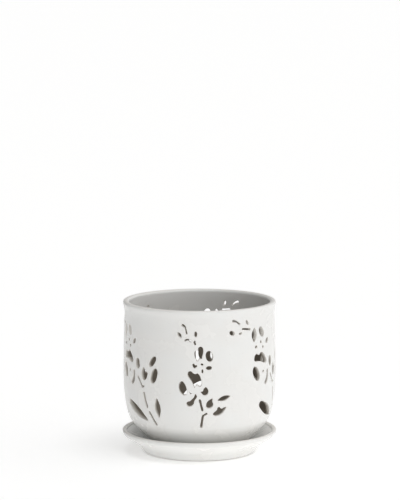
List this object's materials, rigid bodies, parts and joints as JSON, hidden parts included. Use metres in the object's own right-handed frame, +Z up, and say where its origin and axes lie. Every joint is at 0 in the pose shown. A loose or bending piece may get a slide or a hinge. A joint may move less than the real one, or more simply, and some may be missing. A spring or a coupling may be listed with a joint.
{
  "type": "orchid pot with saucer",
  "caption": "Barrel-shaped ceramic orchid pot with pierced orchid-spray slots for air, a rolled lip and a drain hole, standing loose in a flared drip saucer.",
  "frame": {"origin": "centre of the saucer's foot ring, on the surface it stands on", "axes": "+Z up along the pot's axis; -Y towards the viewer of the picture, so the upright spray faces the viewer; +X to the viewer's right"},
  "size_m": [0.154, 0.154, 0.152],
  "materials": {
    "white_glaze": "satin"
  },
  "bodies": {
    "saucer": {"saucer": "white_glaze"},
    "pot": {"pot": "white_glaze"}
  },
  "joints": [
    {"name": "pot_lift", "type": "slide", "parent": "saucer", "child": "pot", "axis": [0, 0, 1], "range_m": [0, 0.06]}
  ]
}
